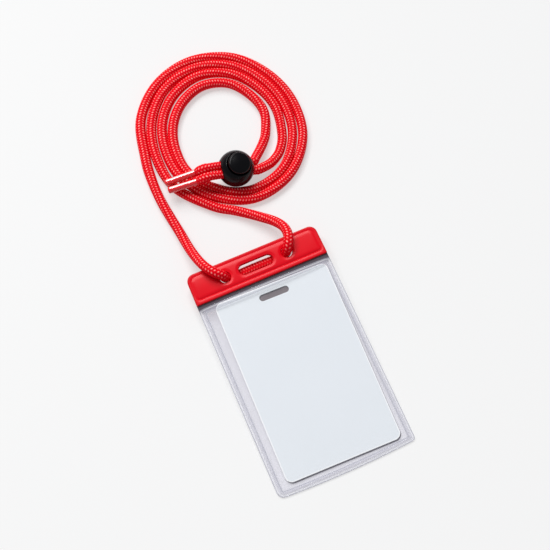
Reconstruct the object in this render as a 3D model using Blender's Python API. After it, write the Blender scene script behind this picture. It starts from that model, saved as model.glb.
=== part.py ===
"""Vinyl badge holder on a round braided neck cord with a ball cord lock.

The holder lies on its back on a table, with its header bar towards +Y. The cord passes behind the
bar from one round hole to the other, so the bar end rests on it and the holder leans by a few degrees.
Both ends of the cord run in a flat double coil beyond the bar and meet in the ball lock.
Lengths are in metres; MM turns millimetres into metres.
"""

from math import ceil, cos, pi, radians, sin

import bmesh
import bpy
from mathutils import Euler, Matrix, Vector

MM = 0.001
FILM_GAP = 0.1 * MM

# Holder, in its own plane: y runs from the pocket's bottom edge to the bar's top edge.
HOLDER_LENGTH = 107.0 * MM
BAR_HEIGHT = 14.6 * MM
BAR_BASE = HOLDER_LENGTH - BAR_HEIGHT
BAR_WIDTH_TOP = 63.0 * MM
BAR_WIDTH_BASE = 63.6 * MM
BAR_CORNER = 3.5 * MM
POCKET_WIDTH_TOP = 63.6 * MM
POCKET_WIDTH_BOTTOM = 64.8 * MM
POCKET_CORNER = 3.0 * MM
HOLDER_LEAN = radians(3.0)

BACK_SHEET = 0.4 * MM
FRONT_SHEET = 0.4 * MM
BAR_BACK_SHEET = 0.5 * MM
BAR_FRONT_SHEET = 1.0 * MM
SIDE_SEAM = 2.0 * MM
BOTTOM_SEAM = 1.8 * MM
MOUTH_HEIGHT = 90.2 * MM

HOLE_LINE = 99.9 * MM
HOLE_SPACING = 30.0 * MM
HOLE_DIAMETER = 6.0 * MM
SLOT_LENGTH = 16.7 * MM
SLOT_WIDTH = 5.0 * MM

# Identity card, the standard card size.
CARD_WIDTH = 54.0 * MM
CARD_LENGTH = 85.6 * MM
CARD_THICKNESS = 0.76 * MM
CARD_CORNER = 3.18 * MM
CARD_FLOOR = 0.55 * MM
CARD_CENTRE = Vector((1.3 * MM, 46.55 * MM))
CARD_TURN = radians(-1.2)
CARD_SLOT_LENGTH = 14.0 * MM
CARD_SLOT_WIDTH = 3.0 * MM
CARD_SLOT_DROP = 5.0 * MM
POCKET_HEADROOM = 1.45 * MM

# Cord.
CORD_DIAMETER = 3.9 * MM
CORD_REST = 2.0 * MM
CORD_PITCH = 4.2 * MM
TIP_DIAMETER = 3.2 * MM
JOINT_GAP = 0.3 * MM
BRIDGE_END = 9.1 * MM
BRIDGE_LINE = 46.4 * MM

# The flat coil: radius of each strand in millimetres every 30 degrees, going clockwise.
COIL_CENTRE = Vector((13.0 * MM, 116.0 * MM))
COIL_STEP = radians(30.0)
LEFT_COIL_START = radians(180.0)
LEFT_COIL_RADII = (
    38.7, 38.5, 38.5, 38.2, 37.1, 35.4, 35.8, 37.9, 39.2, 38.5, 34.7, 31.5,
    28.7, 28.3, 28.8, 29.5, 28.5, 26.8, 27.1, 28.2,
)
RIGHT_COIL_START = radians(240.0)
RIGHT_COIL_RADII = (
    39.3, 36.9, 33.8, 33.3, 34.0, 34.0, 32.8, 31.1, 31.4, 33.1, 34.9, 34.1,
    30.3, 27.2, 24.2, 23.1, 23.2, 24.0, 23.4, 21.6, 21.3, 20.4,
)

# Ball cord lock. Its own frame has the cord bore along x and the push button along z.
BALL_RADIUS = 8.35 * MM
BALL_CENTRE = Vector((9.9 * MM, 92.0 * MM, BALL_RADIUS + 0.15 * MM))
BORE_HEADING = radians(170.0)
BORE_RISE = radians(14.0)
BORE_ROLL = radians(-5.0)
BALL_FLAT = 5.9 * MM
BORE_HALF_HEIGHT = 2.25 * MM
BORE_THROAT = 6.2 * MM
BORE_FLARE = 2.6 * MM
BUTTON_DIAMETER = 10.4 * MM
BUTTON_WELL_DIAMETER = 10.8 * MM
BUTTON_WELL_FLOOR = -5.7 * MM
BUTTON_TOP = 8.5 * MM
BUTTON_FOOT = -3.0 * MM
BUTTON_WINDOW_WIDTH = 8.7 * MM
BUTTON_WINDOW_LOW = -2.1 * MM
BUTTON_WINDOW_HIGH = 4.3 * MM
SPRING_WIRE = 0.5 * MM
SPRING_TURNS = 2.75
SPRING_BASE_RADIUS = 3.8 * MM
SPRING_TOP_RADIUS = 2.2 * MM
LOCK_TRAVEL = 4.0 * MM
STRAIGHT_IN = -7.8 * MM
STRAIGHT_OUT = 8.1 * MM + LOCK_TRAVEL


def clear_scene():
    for old in list(bpy.data.objects):
        bpy.data.objects.remove(old, do_unlink=True)


def material(name, color, roughness, metallic=0.0, alpha=1.0):
    made = bpy.data.materials.new(name)
    made.use_nodes = True
    shader = made.node_tree.nodes["Principled BSDF"]
    shader.inputs["Base Color"].default_value = (*color, 1.0)
    shader.inputs["Roughness"].default_value = roughness
    shader.inputs["Metallic"].default_value = metallic
    shader.inputs["Alpha"].default_value = alpha
    return made


def place(obj, parent=None):
    bpy.context.scene.collection.objects.link(obj)
    if parent is not None:
        obj.parent = parent
    return obj


def mesh_object(name, bm, look, parent=None):
    bmesh.ops.recalc_face_normals(bm, faces=bm.faces)
    mesh = bpy.data.meshes.new(name)
    bm.to_mesh(mesh)
    bm.free()
    if look is not None:
        mesh.materials.append(look)
    return place(bpy.data.objects.new(name, mesh), parent)


def empty(name, location, rotation):
    frame = bpy.data.objects.new(name, None)
    frame.location = location
    frame.rotation_euler = rotation
    return place(frame)


def arc(centre, radius, start, end, steps):
    """Points along an arc, both ends included; angles in radians."""
    points = []
    for i in range(steps + 1):
        angle = start + (end - start) * i / steps
        points.append(Vector((centre[0] + radius * cos(angle), centre[1] + radius * sin(angle))))
    return points


def rounded_top(width_base, width_top, base, top, radius, steps=6):
    """Counter-clockwise outline with square base corners and round top corners."""
    half_base = width_base / 2
    half_top = width_top / 2
    points = [Vector((-half_base, base)), Vector((half_base, base))]
    points += arc((half_top - radius, top - radius), radius, 0.0, pi / 2, steps)
    points += arc((radius - half_top, top - radius), radius, pi / 2, pi, steps)
    return points


def rounded_bottom(width_bottom, width_top, bottom, top, radius, steps=6):
    """Counter-clockwise outline with round bottom corners and square top corners."""
    half = width_bottom / 2
    points = arc((radius - half, bottom + radius), radius, pi, 1.5 * pi, steps)
    points += arc((half - radius, bottom + radius), radius, 1.5 * pi, 2 * pi, steps)
    points += [Vector((width_top / 2, top)), Vector((-width_top / 2, top))]
    return points


def rounded_box(width, length, radius, steps=6):
    x = width / 2 - radius
    y = length / 2 - radius
    points = []
    for i, (cx, cy) in enumerate(((x, y), (-x, y), (-x, -y), (x, -y))):
        points += arc((cx, cy), radius, i * pi / 2, (i + 1) * pi / 2, steps)
    return points


def stadium(length, width, steps=10):
    """Slot outline: straight sides and half-round ends along x."""
    radius = width / 2
    x = length / 2 - radius
    return arc((x, 0.0), radius, -pi / 2, pi / 2, steps) + arc((-x, 0.0), radius, pi / 2, 1.5 * pi, steps)


def circle(radius, steps=32):
    return arc((0.0, 0.0), radius, 0.0, 2 * pi, steps)[:-1]


def prism(outline, low, high, offset=(0.0, 0.0)):
    """A bmesh prism of an outline in the xy plane, from z = low to z = high."""
    bm = bmesh.new()
    ring = [bm.verts.new((p[0] + offset[0], p[1] + offset[1], low)) for p in outline]
    face = bm.faces.new(ring)
    grown = bmesh.ops.extrude_face_region(bm, geom=[face])
    moved = [v for v in grown["geom"] if isinstance(v, bmesh.types.BMVert)]
    bmesh.ops.translate(bm, verts=moved, vec=(0.0, 0.0, high - low))
    return bm


def cut(target, cutter):
    """Take the cutter's shape out of the target and keep the cutter as a hidden guide."""
    cutter.hide_render = True
    cutter.display_type = "WIRE"
    boolean = target.modifiers.new("cut_" + cutter.name, "BOOLEAN")
    boolean.operation = "DIFFERENCE"
    boolean.solver = "EXACT"
    boolean.object = cutter


def shade_round(obj, angle=radians(35)):
    obj.data.shade_smooth()
    obj.data.set_sharp_from_angle(angle=angle)


def add_bar_openings(target, holder, low, high):
    """The strap slot and the two cord holes, through one layer of the bar."""
    margin = 1.0 * MM
    slot = prism(stadium(SLOT_LENGTH, SLOT_WIDTH), low - margin, high + margin, (0.0, HOLE_LINE))
    cut(target, mesh_object(target.name + "_slot_cutter", slot, None, holder))
    for side, x in (("left", -HOLE_SPACING / 2), ("right", HOLE_SPACING / 2)):
        hole = prism(circle(HOLE_DIAMETER / 2), low - margin, high + margin, (x, HOLE_LINE))
        cut(target, mesh_object(f"{target.name}_{side}_cutter", hole, None, holder))


def build_holder(holder):
    red = material("red_vinyl", (0.76, 0.012, 0.016), 0.32)
    clear = material("clear_vinyl", (0.80, 0.80, 0.87), 0.12, alpha=0.35)

    bar_front_low = BACK_SHEET + FILM_GAP
    bar_front_high = bar_front_low + BAR_FRONT_SHEET
    bar_back_high = -FILM_GAP
    bar_back_low = bar_back_high - BAR_BACK_SHEET
    bar_outline = rounded_top(BAR_WIDTH_BASE, BAR_WIDTH_TOP, BAR_BASE, HOLDER_LENGTH, BAR_CORNER)

    front = mesh_object("bar_front_strip", prism(bar_outline, bar_front_low, bar_front_high), red, holder)
    add_bar_openings(front, holder, bar_front_low, bar_front_high)
    back = mesh_object("bar_back_strip", prism(bar_outline, bar_back_low, bar_back_high), red, holder)
    add_bar_openings(back, holder, bar_back_low, bar_back_high)

    # The back panel is one sheet from the pocket's bottom to just inside the bar's top edge.
    inset = 0.5 * MM
    sheet = rounded_bottom(POCKET_WIDTH_BOTTOM, POCKET_WIDTH_TOP, 0.0, BAR_BASE - inset, POCKET_CORNER)[:-2]
    shoulder = BAR_BASE - inset
    half_top = POCKET_WIDTH_TOP / 2
    half_tongue = BAR_WIDTH_TOP / 2 - inset
    sheet += [Vector((half_top, shoulder)), Vector((half_tongue, shoulder))]
    radius = BAR_CORNER
    tongue_top = HOLDER_LENGTH - inset
    sheet += arc((half_tongue - radius, tongue_top - radius), radius, 0.0, pi / 2, 6)
    sheet += arc((radius - half_tongue, tongue_top - radius), radius, pi / 2, pi, 6)
    sheet += [Vector((-half_tongue, shoulder)), Vector((-half_top, shoulder))]
    back_panel = mesh_object("back_panel", prism(sheet, 0.0, BACK_SHEET), clear, holder)
    add_bar_openings(back_panel, holder, 0.0, BACK_SHEET)

    # The front panel is a shallow tray upside down: its rim is the seam on three sides.
    panel_low = BACK_SHEET + FILM_GAP
    panel_high = POCKET_HEADROOM + FRONT_SHEET
    mouth_width = POCKET_WIDTH_BOTTOM + (POCKET_WIDTH_TOP - POCKET_WIDTH_BOTTOM) * MOUTH_HEIGHT / BAR_BASE
    tray = rounded_bottom(POCKET_WIDTH_BOTTOM, mouth_width, 0.0, MOUTH_HEIGHT, POCKET_CORNER)
    front_panel = mesh_object("front_panel", prism(tray, panel_low, panel_high), clear, holder)
    recess_top = MOUTH_HEIGHT + 5.0 * MM
    recess = rounded_bottom(
        POCKET_WIDTH_BOTTOM - 2 * SIDE_SEAM,
        mouth_width - 2 * SIDE_SEAM,
        BOTTOM_SEAM,
        recess_top,
        POCKET_CORNER - 1.0 * MM,
    )
    room = prism(recess, panel_low - 1.0 * MM, POCKET_HEADROOM)
    cut(front_panel, mesh_object("front_panel_room_cutter", room, None, holder))


def build_card(holder):
    white = material("white_card", (0.80, 0.83, 0.88), 0.35)
    outline = rounded_box(CARD_WIDTH, CARD_LENGTH, CARD_CORNER)
    card = mesh_object("id_card", prism(outline, 0.0, CARD_THICKNESS), white, holder)
    card.location = (CARD_CENTRE.x, CARD_CENTRE.y, CARD_FLOOR)
    card.rotation_euler = (0.0, 0.0, CARD_TURN)
    punch = prism(
        stadium(CARD_SLOT_LENGTH, CARD_SLOT_WIDTH),
        -CARD_THICKNESS,
        2 * CARD_THICKNESS,
        (0.0, CARD_LENGTH / 2 - CARD_SLOT_DROP),
    )
    cut(card, mesh_object("id_card_slot_cutter", punch, None, card))


def build_lock(lock):
    black = material("black_plastic", (0.008, 0.008, 0.009), 0.22)
    steel = material("spring_steel", (0.55, 0.56, 0.58), 0.3, metallic=1.0)

    ball = bmesh.new()
    bmesh.ops.create_uvsphere(ball, u_segments=40, v_segments=24, radius=BALL_RADIUS)
    barrel = mesh_object("lock_barrel", ball, black, lock)
    reach = 1.2 * BALL_RADIUS
    cap = prism(circle(reach, 24), BALL_FLAT, reach)
    cut(barrel, mesh_object("lock_flat_cutter", cap, None, lock))
    well = prism(circle(BUTTON_WELL_DIAMETER / 2, 48), BUTTON_WELL_FLOOR, reach)
    cut(barrel, mesh_object("lock_well_cutter", well, None, lock))
    cut(barrel, mesh_object("lock_bore_cutter", flared_bore(reach), None, lock))
    shade_round(barrel)

    button = mesh_object("lock_button", turned(button_profile(), 48), black, lock)
    half_window = BUTTON_WINDOW_WIDTH / 2
    window_outline = [
        Vector((-BUTTON_DIAMETER, -half_window)),
        Vector((BUTTON_DIAMETER, -half_window)),
        Vector((BUTTON_DIAMETER, half_window)),
        Vector((-BUTTON_DIAMETER, half_window)),
    ]
    window = prism(window_outline, BUTTON_WINDOW_LOW, BUTTON_WINDOW_HIGH)
    cut(button, mesh_object("lock_window_cutter", window, None, lock))
    shade_round(button)

    coil = []
    steps = ceil(SPRING_TURNS * 14)
    low = BUTTON_WELL_FLOOR + SPRING_WIRE / 2 + 0.05 * MM
    high = BUTTON_FOOT - SPRING_WIRE / 2 - 0.05 * MM
    for i in range(steps + 1):
        share = i / steps
        radius = SPRING_BASE_RADIUS + (SPRING_TOP_RADIUS - SPRING_BASE_RADIUS) * share
        angle = 2 * pi * SPRING_TURNS * share
        coil.append(Vector((radius * cos(angle), radius * sin(angle), low + (high - low) * share)))
    tube("lock_spring", coil, SPRING_WIRE, steel, 1, lock)


def flared_bore(reach):
    """The room of both strands through the ball along x, with a funnel at each mouth."""
    bm = bmesh.new()
    rings = []
    for x, flare in ((-reach, BORE_FLARE), (-BORE_THROAT, 0.0), (BORE_THROAT, 0.0), (reach, BORE_FLARE)):
        height = 2 * (BORE_HALF_HEIGHT + flare)
        outline = stadium(CORD_PITCH + height, height, 12)
        rings.append([bm.verts.new((x, p[0], p[1])) for p in outline])
    bm.faces.new(rings[0])
    bm.faces.new(rings[-1])
    for near, far in zip(rings, rings[1:]):
        for i in range(len(near)):
            j = (i + 1) % len(near)
            bm.faces.new((near[i], near[j], far[j], far[i]))
    return bm


def button_profile():
    """Radius and height of the push button from its foot to its gently domed top."""
    radius = BUTTON_DIAMETER / 2
    edge = 0.8 * MM
    profile = [(0.0, BUTTON_FOOT), (radius, BUTTON_FOOT)]
    shoulder = BUTTON_TOP - 0.5 * MM - edge
    for i in range(5):
        angle = i / 4 * pi / 2
        profile.append((radius - edge + edge * cos(angle), shoulder + edge * sin(angle)))
    profile.append((radius * 0.45, BUTTON_TOP - 0.1 * MM))
    profile.append((0.0, BUTTON_TOP))
    return profile


def turned(profile, steps):
    """Solid of revolution about z; the profile's first and last points are on the axis."""
    bm = bmesh.new()
    rings = []
    for radius, height in profile:
        if radius == 0.0:
            rings.append([bm.verts.new((0.0, 0.0, height))])
            continue
        ring = []
        for i in range(steps):
            angle = 2 * pi * i / steps
            ring.append(bm.verts.new((radius * cos(angle), radius * sin(angle), height)))
        rings.append(ring)
    for lower, upper in zip(rings, rings[1:]):
        for i in range(steps):
            j = (i + 1) % steps
            corners = (
                lower[i % len(lower)],
                lower[j % len(lower)],
                upper[j % len(upper)],
                upper[i % len(upper)],
            )
            bm.faces.new(dict.fromkeys(corners))
    return bm


def tube(name, points, diameter, look, bevel_resolution, parent=None):
    curve = bpy.data.curves.new(name, "CURVE")
    curve.dimensions = "3D"
    curve.bevel_depth = diameter / 2
    curve.bevel_resolution = bevel_resolution
    curve.use_fill_caps = True
    spline = curve.splines.new("POLY")
    spline.points.add(len(points) - 1)
    for knot, point in zip(spline.points, points):
        knot.co = (*point, 1.0)
    curve.materials.append(look)
    return place(bpy.data.objects.new(name, curve), parent)


def rod(name, start, end, diameter, look):
    """A straight round piece with softly chamfered ends."""
    radius = diameter / 2
    length = (end - start).length
    chamfer = 0.3 * MM
    profile = [
        (0.0, 0.0),
        (radius - chamfer, 0.0),
        (radius, chamfer),
        (radius, length - chamfer),
        (radius - chamfer, length),
        (0.0, length),
    ]
    piece = mesh_object(name, turned(profile, 20), look)
    piece.location = start
    piece.rotation_euler = (end - start).to_track_quat("Z", "Y").to_euler()
    shade_round(piece)
    return piece


def millimetres(*points):
    return [Vector(point) * MM for point in points]


def coil_points(start, radii):
    """Points of one strand of the flat coil, clockwise from its start angle."""
    points = []
    for i, radius in enumerate(radii):
        angle = start - i * COIL_STEP
        x = COIL_CENTRE.x + radius * MM * cos(angle)
        y = COIL_CENTRE.y + radius * MM * sin(angle)
        points.append(Vector((x, y, CORD_REST)))
    return points


def lock_points(lock_frame, side, stations):
    """Points on a strand's straight way through the lock; side is -1 or 1 across the bore."""
    return [lock_frame @ Vector((x, side * CORD_PITCH / 2, 0.0)) for x in stations]


def smooth(points, spacing):
    """Points read from a smooth curve through the route, no further apart than about the spacing."""
    ends = [2 * points[0] - points[1]] + points + [2 * points[-1] - points[-2]]
    read = [points[0]]
    for before, start, end, after in zip(ends, ends[1:], ends[2:], ends[3:]):
        parts = max(1, round((end - start).length / spacing))
        for i in range(1, parts + 1):
            t = i / parts
            out = (end - before) / 2
            into = (after - start) / 2
            bulge = (1 - t) * t * ((1 - t) * (out - (end - start)) + t * ((end - start) - into))
            read.append(start.lerp(end, t) + bulge)
    return read


def build_cord(lock_frame):
    braid = material("red_braid", (0.70, 0.012, 0.02), 0.6)
    film = material("red_film", (0.72, 0.01, 0.015), 0.15)
    spacing = 2.8 * CORD_DIAMETER
    stations = (STRAIGHT_IN, STRAIGHT_OUT)

    bridge = millimetres(
        (-BRIDGE_END / MM, BRIDGE_LINE / MM, CORD_REST / MM),
        (0.0, BRIDGE_LINE / MM + 0.1, CORD_REST / MM),
        (BRIDGE_END / MM, BRIDGE_LINE / MM, CORD_REST / MM),
    )
    tube("cord_behind_bar", bridge, CORD_DIAMETER, braid, 2)

    left_tip = millimetres((-7.9, 92.8, 9.2), (-22.3, 95.5, 5.75))
    left_route = (
        millimetres(
            (-9.4, 46.4, 2.0), (-12.1, 46.4, 2.4), (-14.0, 46.4, 3.7), (-14.9, 46.4, 5.4),
            (-15.5, 46.8, 7.2), (-16.9, 47.6, 9.0), (-19.3, 49.7, 10.0), (-21.6, 53.4, 9.5),
            (-23.0, 58.0, 7.8), (-24.0, 63.5, 5.6), (-24.6, 69.5, 3.7), (-25.2, 76.5, 2.5),
            (-26.3, 85.0, 2.1), (-27.2, 94.5, 2.0), (-27.1, 105.0, 2.0),
        )
        + coil_points(LEFT_COIL_START, LEFT_COIL_RADII)
        + millimetres((33.3, 94.9, 2.1), (30.2, 92.2, 2.5), (26.4, 90.0, 3.5), (22.2, 89.0, 4.8))
        + lock_points(lock_frame, 1, stations)
        + [left_tip[0] - (left_tip[1] - left_tip[0]).normalized() * JOINT_GAP]
    )
    tube("cord_left", smooth(left_route, spacing), CORD_DIAMETER, braid, 2)
    rod("cord_tip_left", left_tip[0], left_tip[1], TIP_DIAMETER, film)

    right_tip = millimetres((-7.1, 97.1, 9.6), (-22.3, 99.4, 5.75))
    right_route = (
        millimetres(
            (9.4, 46.4, 2.0), (12.1, 46.4, 2.4), (14.0, 46.4, 3.7), (14.9, 46.4, 5.4),
            (15.4, 46.7, 7.2), (16.2, 47.7, 9.0), (17.5, 49.9, 9.9), (18.7, 53.4, 9.4),
            (18.4, 57.6, 8.0), (15.9, 62.3, 6.0), (11.8, 66.9, 4.1), (7.0, 71.5, 2.8),
            (1.8, 75.8, 2.1),
        )
        + coil_points(RIGHT_COIL_START, RIGHT_COIL_RADII)
        + millimetres((27.6, 101.6, 2.1), (24.4, 98.3, 2.9), (21.6, 95.6, 4.4), (19.6, 93.7, 5.5))
        + lock_points(lock_frame, -1, stations)
        + [right_tip[0] - (right_tip[1] - right_tip[0]).normalized() * JOINT_GAP]
    )
    tube("cord_right", smooth(right_route, spacing), CORD_DIAMETER, braid, 2)
    rod("cord_tip_right", right_tip[0], right_tip[1], TIP_DIAMETER, film)


def build():
    clear_scene()
    # The lean about the pocket's bottom edge, with the holder centred on the world's y = 0.
    base_y = (POCKET_HEADROOM + FRONT_SHEET) / 2 * sin(HOLDER_LEAN) - HOLDER_LENGTH / 2 * cos(HOLDER_LEAN)
    holder = empty("holder_lean", (0.0, base_y, 0.0), (HOLDER_LEAN, 0.0, 0.0))
    build_holder(holder)
    build_card(holder)

    turn = Euler((BORE_ROLL, -BORE_RISE, BORE_HEADING), "XYZ")
    lock = empty("lock_axis", BALL_CENTRE, turn)
    build_lock(lock)
    build_cord(Matrix.Translation(BALL_CENTRE) @ turn.to_matrix().to_4x4())


build()
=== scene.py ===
"""Looks of the vinyl badge holder: braided neck cord, puffed header bar, clear pocket, card and ball lock."""

from math import ceil, cos, pi, radians, sin, sqrt

import bmesh
import bpy
import numpy as np
from mathutils import Euler, Matrix, Vector
from mathutils.geometry import delaunay_2d_cdt


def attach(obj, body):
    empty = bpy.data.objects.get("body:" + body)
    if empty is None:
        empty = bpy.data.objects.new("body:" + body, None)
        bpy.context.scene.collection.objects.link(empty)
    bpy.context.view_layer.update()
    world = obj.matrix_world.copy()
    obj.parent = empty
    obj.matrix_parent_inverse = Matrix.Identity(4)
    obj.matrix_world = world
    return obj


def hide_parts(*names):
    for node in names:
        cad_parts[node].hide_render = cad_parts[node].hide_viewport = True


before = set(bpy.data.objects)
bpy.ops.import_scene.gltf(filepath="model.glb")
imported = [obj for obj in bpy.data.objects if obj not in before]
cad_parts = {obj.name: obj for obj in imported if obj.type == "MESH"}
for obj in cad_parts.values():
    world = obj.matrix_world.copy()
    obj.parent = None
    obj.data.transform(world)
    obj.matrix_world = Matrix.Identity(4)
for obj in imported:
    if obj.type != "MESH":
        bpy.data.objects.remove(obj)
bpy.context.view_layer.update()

MM = 0.001


# Camera: looks down at the holder from its pocket end, a little off the vertical.
VIEW_TARGET = Vector((6.7, 40.3, 0.0)) * MM
VIEW_DISTANCE = 0.6
VIEW_ROLL = radians(23.71)
VIEW_TILT = radians(18.46)
VIEW_LENS = 86.75


def link(obj):
    bpy.context.scene.collection.objects.link(obj)
    return obj


def add_camera():
    data = bpy.data.cameras.new("camera")
    data.lens = VIEW_LENS
    data.sensor_width = 36.0
    camera = link(bpy.data.objects.new("camera", data))
    turn = Matrix.Rotation(-VIEW_ROLL, 4, "Z") @ Matrix.Rotation(VIEW_TILT, 4, "X")
    back = Matrix.Translation((0.0, 0.0, VIEW_DISTANCE))
    camera.matrix_world = Matrix.Translation(VIEW_TARGET) @ turn @ back
    bpy.context.scene.camera = camera
    return camera


# Materials


class Shade:
    """One material, with short calls that add and link its shader nodes."""

    def __init__(self, name, **settings):
        self.material = bpy.data.materials.new(name)
        self.material.use_nodes = True
        self.tree = self.material.node_tree
        self.surface = self.tree.nodes["Principled BSDF"]
        self.set(**settings)

    def set(self, **settings):
        """Give the surface's sockets a value or a link; an underscore stands for a space."""
        for key, value in settings.items():
            self.plug(value, self.surface.inputs[key.replace("_", " ")])

    def plug(self, value, socket):
        if isinstance(value, bpy.types.NodeSocket):
            self.tree.links.new(value, socket)
        elif socket.type == "RGBA" and len(value) == 3:
            socket.default_value = (*value, 1.0)
        else:
            socket.default_value = value

    def node(self, kind, inputs=(), **settings):
        made = self.tree.nodes.new(kind)
        for key, value in settings.items():
            setattr(made, key, value)
        for key, value in dict(inputs).items():
            self.plug(value, made.inputs[key])
        return made

    def math(self, operation, first, second=0.0, third=0.0, clamp=False):
        values = {0: first, 1: second, 2: third}
        made = self.node("ShaderNodeMath", values, operation=operation, use_clamp=clamp)
        return made.outputs[0]

    def mix(self, factor, first, second):
        made = self.node("ShaderNodeMix", {0: factor, 6: first, 7: second}, data_type="RGBA")
        return made.outputs[2]

    def ramp(self, value, *stops):
        """A value mapped along (position, grey level) stops."""
        made = self.node("ShaderNodeValToRGB", {0: value})
        elements = made.color_ramp.elements
        while len(elements) < len(stops):
            elements.new(0.5)
        for element, (position, level) in zip(elements, stops):
            element.position = position
            element.color = (level, level, level, 1.0)
        return made.outputs[0]

    def position(self):
        return self.node("ShaderNodeTexCoord").outputs["Object"]

    def noise(self, scale, vector=None, detail=3.0):
        vector = vector or self.position()
        made = self.node("ShaderNodeTexNoise", {"Vector": vector, "Scale": scale, "Detail": detail})
        return made.outputs["Fac"]

    def attribute(self, name):
        return self.node("ShaderNodeAttribute", attribute_name=name).outputs["Fac"]

    def bump(self, height, distance, strength=1.0):
        made = self.node("ShaderNodeBump", {"Height": height, "Distance": distance, "Strength": strength})
        self.set(Normal=made.outputs[0])


# Cord


CORD_REST = 2.0
MIDDLE_POINT = (0.0, 46.5, CORD_REST)
COVERED_HALF = 9.25
COIL_CENTRE = (13.0, 116.0)
COIL_STEP = 30.0
LEFT_COIL_START = 180.0
LEFT_COIL_RADII = (
    38.7, 38.5, 38.5, 38.2, 37.1, 35.4, 35.8, 37.9, 39.2, 38.5, 34.7, 31.5,
    28.7, 28.3, 28.8, 29.5, 28.5, 26.8, 27.1, 28.2,
)
RIGHT_COIL_START = 240.0
RIGHT_COIL_RADII = (
    39.3, 36.9, 33.8, 33.3, 34.0, 34.0, 32.8, 31.1, 31.4, 33.1, 34.9, 34.1,
    30.3, 27.2, 24.2, 23.1, 23.2, 24.0, 23.4, 21.6, 21.3, 20.4,
)

BALL_RADIUS = 8.35
BALL_CENTRE = Vector((9.9, 92.0, BALL_RADIUS + 0.15))
LOCK_TURN = Euler((radians(-5.0), radians(-14.0), radians(170.0)), "XYZ").to_matrix()
STRAND_OFFSET = 2.1
LOCK_TRAVEL = 4.0
STRAIGHT_IN = -7.8
STRAIGHT_OUT = 8.1 + LOCK_TRAVEL

LEFT_TIP = (Vector((-7.9, 92.8, 9.2)), Vector((-22.3, 95.5, 5.75)))
RIGHT_TIP = (Vector((-7.1, 97.1, 9.6)), Vector((-22.3, 99.4, 5.75)))
TIP_DIAMETER = 3.2
# How far from straight up the tips' painted highlight lies.
HIGHLIGHT_ANGLE = radians(14.0)

BRAID_COLUMNS = 8
BRAID_PITCH = 1.3
BRAID_CROWN = 0.16
BRAID_RADIUS = 2.2
BRAID_LEAN = 0.5
RING_POINTS = 40
RINGS_PER_PITCH = 4
BRAID_TWIST = 300.0


def coil_points(start, radii):
    points = []
    for i, radius in enumerate(radii):
        angle = radians(start - i * COIL_STEP)
        points.append((COIL_CENTRE[0] + radius * cos(angle), COIL_CENTRE[1] + radius * sin(angle), CORD_REST))
    return points


def lock_points(side):
    """The strand's straight way through the ball; side is -1 or 1 across the bore."""
    ends = [Vector((x, side * STRAND_OFFSET, 0.0)) for x in (STRAIGHT_IN, STRAIGHT_OUT)]
    return [tuple(BALL_CENTRE + LOCK_TURN @ end) for end in ends]


def into_tip(tip):
    """The end of a strand, a little way inside its tip."""
    start, end = tip
    return [tuple(start + (end - start).normalized() * 0.8)]


def left_route():
    rise = [
        (-9.4, 46.4, 2.0), (-12.1, 46.4, 2.4), (-14.0, 46.4, 3.7), (-14.9, 46.4, 5.4),
        (-15.5, 46.8, 7.2), (-16.9, 47.6, 9.0), (-19.3, 49.7, 10.0), (-21.6, 53.4, 9.5),
        (-23.0, 58.0, 7.8), (-24.0, 63.5, 5.6), (-24.6, 69.5, 3.7), (-25.2, 76.5, 2.5),
        (-26.3, 85.0, 2.1), (-27.2, 94.5, 2.0), (-27.1, 105.0, 2.0),
    ]
    entry = [(33.3, 94.9, 2.1), (30.2, 92.2, 2.5), (26.4, 90.0, 3.5), (22.2, 89.0, 4.8)]
    coil = coil_points(LEFT_COIL_START, LEFT_COIL_RADII)
    return rise + coil + entry + lock_points(1) + into_tip(LEFT_TIP)


def right_route():
    rise = [
        (9.4, 46.4, 2.0), (12.1, 46.4, 2.4), (14.0, 46.4, 3.7), (14.9, 46.4, 5.4),
        (15.4, 46.7, 7.2), (16.2, 47.7, 9.0), (17.5, 49.9, 9.9), (18.7, 53.4, 9.4),
        (18.4, 57.6, 8.0), (15.9, 62.3, 6.0), (11.8, 66.9, 4.1), (7.0, 71.5, 2.8),
        (1.8, 75.8, 2.1),
    ]
    entry = [(27.6, 101.6, 2.1), (24.4, 98.3, 2.9), (21.6, 95.6, 4.4), (19.6, 93.7, 5.5)]
    coil = coil_points(RIGHT_COIL_START, RIGHT_COIL_RADII)
    return rise + coil + entry + lock_points(-1) + into_tip(RIGHT_TIP)


def smooth_curve(points, spacing):
    """Evenly spaced points, in an array, along a smooth curve through the route's points."""
    route = np.array(points, dtype=float)
    ends = np.vstack([2 * route[0] - route[1], route, 2 * route[-1] - route[-2]])
    t = np.linspace(0.0, 1.0, 40, endpoint=False)[:, None]
    spans = []
    for before, start, end, after in zip(ends, ends[1:], ends[2:], ends[3:]):
        out = (end - before) / 2
        into = (after - start) / 2
        bulge = (1 - t) * t * ((1 - t) * (out - (end - start)) + t * ((end - start) - into))
        spans.append(start + (end - start) * t + bulge)
    curve = np.vstack(spans + [route[-1:]])
    curve = evenly_spaced(curve, spacing)
    return evenly_spaced(softened(curve, 1.3 / spacing), spacing)


def evenly_spaced(curve, spacing):
    steps = np.linalg.norm(np.diff(curve, axis=0), axis=1)
    along = np.concatenate([[0.0], np.cumsum(steps)])
    count = max(2, int(round(along[-1] / spacing)))
    at = np.linspace(0.0, along[-1], count + 1)
    return np.stack([np.interp(at, along, curve[:, k]) for k in range(3)], axis=1)


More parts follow.
